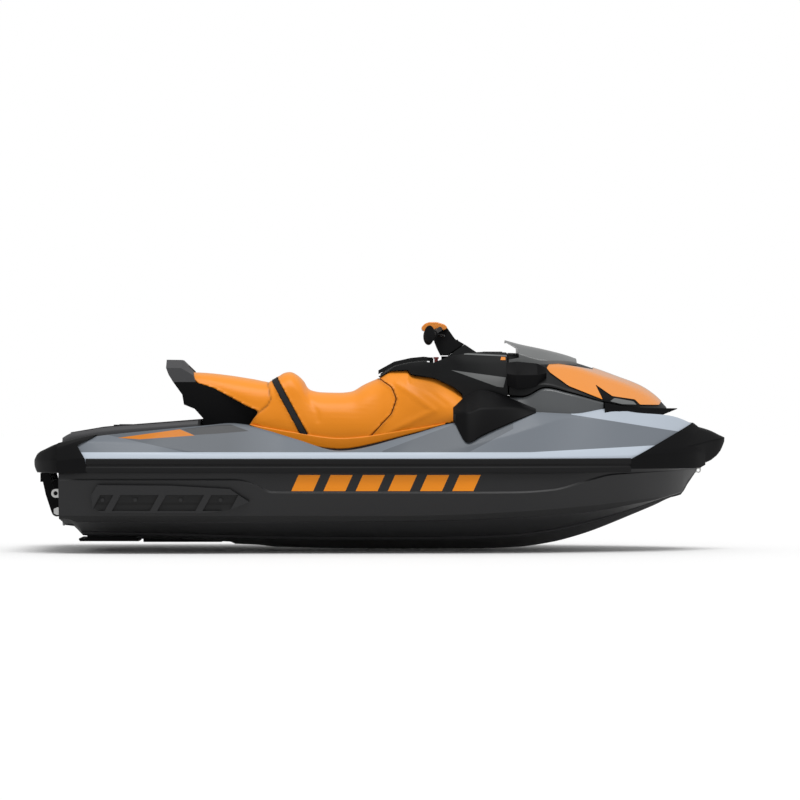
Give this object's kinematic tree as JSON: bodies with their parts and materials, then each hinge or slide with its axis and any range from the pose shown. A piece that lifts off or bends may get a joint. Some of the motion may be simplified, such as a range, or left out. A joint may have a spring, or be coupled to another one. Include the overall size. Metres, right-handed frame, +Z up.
{
  "type": "personal watercraft",
  "caption": "Three-seat personal watercraft with a V hull, jet pump, steering nozzle, reverse gate, front hatch and fold-down step.",
  "frame": {"origin": "on the centreline amidships, at the waterline", "axes": "+X towards the bow, +Y towards port, +Z up"},
  "size_m": [3.321, 1.2566, 1.106],
  "materials": {
    "hull_grey": "satin grey moulded hull",
    "deck_light_grey": "glossy light grey deck",
    "black_plastic": "matte black moulding",
    "dark_plastic": "dark grey textured moulding",
    "mid_grey_plastic": "mid grey moulding",
    "bumper_rubber": "dark grey rubber",
    "foam_mat": "grooved foam mat",
    "seat_orange": "orange marine vinyl",
    "strap_webbing": "black webbing",
    "panel_orange": "glossy orange panel",
    "grip_rubber": "soft black rubber",
    "bar_steel": "black painted tube",
    "pump_aluminium": "cast and machined aluminium",
    "stainless_steel": "stainless steel",
    "engine_metal": "plain block",
    "mirror_face": "mirror glass",
    "screen_glass": "dark display",
    "red_plastic": "dark red post"
  },
  "bodies": {
    "craft": {"hull": "hull_grey", "deck": "deck_light_grey", "gunwale_bumper": "bumper_rubber", "bow_cap": "black_plastic", "stern_cap": "black_plastic", "swim_platform": "black_plastic", "platform_mat": "foam_mat", "footwell_mats": "foam_mat", "accessory_anchors": "black_plastic", "passenger_seat": "seat_orange", "driver_seat": "seat_orange", "seat_strap": "strap_webbing", "knee_cover": "seat_orange", "seat_support": "black_plastic", "grab_handle": "black_plastic", "console": "dark_plastic", "glove_box": "dark_plastic", "lid_lugs": "dark_plastic", "gauge": "screen_glass", "lanyard_post": "red_plastic", "hood_hinge": "stainless_steel", "coaming": "mid_grey_plastic", "hood_lip": "black_plastic", "fairing_left": "black_plastic", "fairing_right": "black_plastic", "storage_bin": "black_plastic", "pump_housing": "pump_aluminium", "ride_plate": "black_plastic", "intake_grate": "pump_aluminium", "engine_block": "engine_metal", "step_brackets": "stainless_steel", "steering_boot": "dark_plastic", "stern_eyes": "stainless_steel", "tow_eye": "stainless_steel", "bow_eye": "stainless_steel", "drain_plugs": "black_plastic", "sponson_left": "dark_plastic", "sponson_right": "dark_plastic"},
    "handlebars": {"steering_riser": "black_plastic", "handlebar": "bar_steel", "handlebar_pad": "panel_orange", "grips": "grip_rubber", "throttle_lever": "black_plastic", "brake_lever": "black_plastic"},
    "nozzle": {"steering_nozzle": "pump_aluminium"},
    "gate": {"reverse_gate": "black_plastic"},
    "rotor": {"impeller": "stainless_steel", "driveshaft": "stainless_steel"},
    "hatch": {"hood": "dark_plastic", "hood_panel": "panel_orange", "hood_vents": "dark_plastic", "visor": "dark_plastic", "mirror_left": "dark_plastic", "mirror_right": "dark_plastic", "mirror_glasses": "mirror_face"},
    "glove_lid": {"glove_box_lid": "dark_plastic"},
    "step": {"boarding_step": "black_plastic"}
  },
  "joints": [
    {"name": "steering", "type": "hinge", "parent": "craft", "child": "handlebars", "pos_m": [0.39, 0, 0.7], "axis": [-0.5736, 0, 0.8192], "range_deg": [-25, 25]},
    {"name": "nozzle_steer", "type": "hinge", "parent": "craft", "child": "nozzle", "pos_m": [-1.442, 0, -0.06], "axis": [0, 0, 1], "range_deg": [-20, 20]},
    {"name": "gate_swing", "type": "hinge", "parent": "craft", "child": "gate", "pos_m": [-1.396, 0, -0.06], "axis": [0, -1, 0], "range_deg": [0, 75]},
    {"name": "impeller_spin", "type": "hinge", "parent": "craft", "child": "rotor", "pos_m": [-1.262, 0, -0.06], "axis": [1, 0, 0], "continuous": true},
    {"name": "hatch_open", "type": "hinge", "parent": "craft", "child": "hatch", "pos_m": [1.392, 0, 0.446], "axis": [0, 1, 0], "range_deg": [0, 50]},
    {"name": "glove_lid_open", "type": "hinge", "parent": "craft", "child": "glove_lid", "pos_m": [0.236, 0, 0.694], "axis": [0, 1, 0], "range_deg": [0, 50]},
    {"name": "step_fold", "type": "hinge", "parent": "craft", "child": "step", "pos_m": [-1.568, 0, -0.039], "axis": [0, -1, 0], "range_deg": [0, 150], "stiffness_Nm_per_rad": 6}
  ],
  "couplings": [
    {"joint": "nozzle_steer", "follows": "steering", "ratio": -0.8}
  ]
}
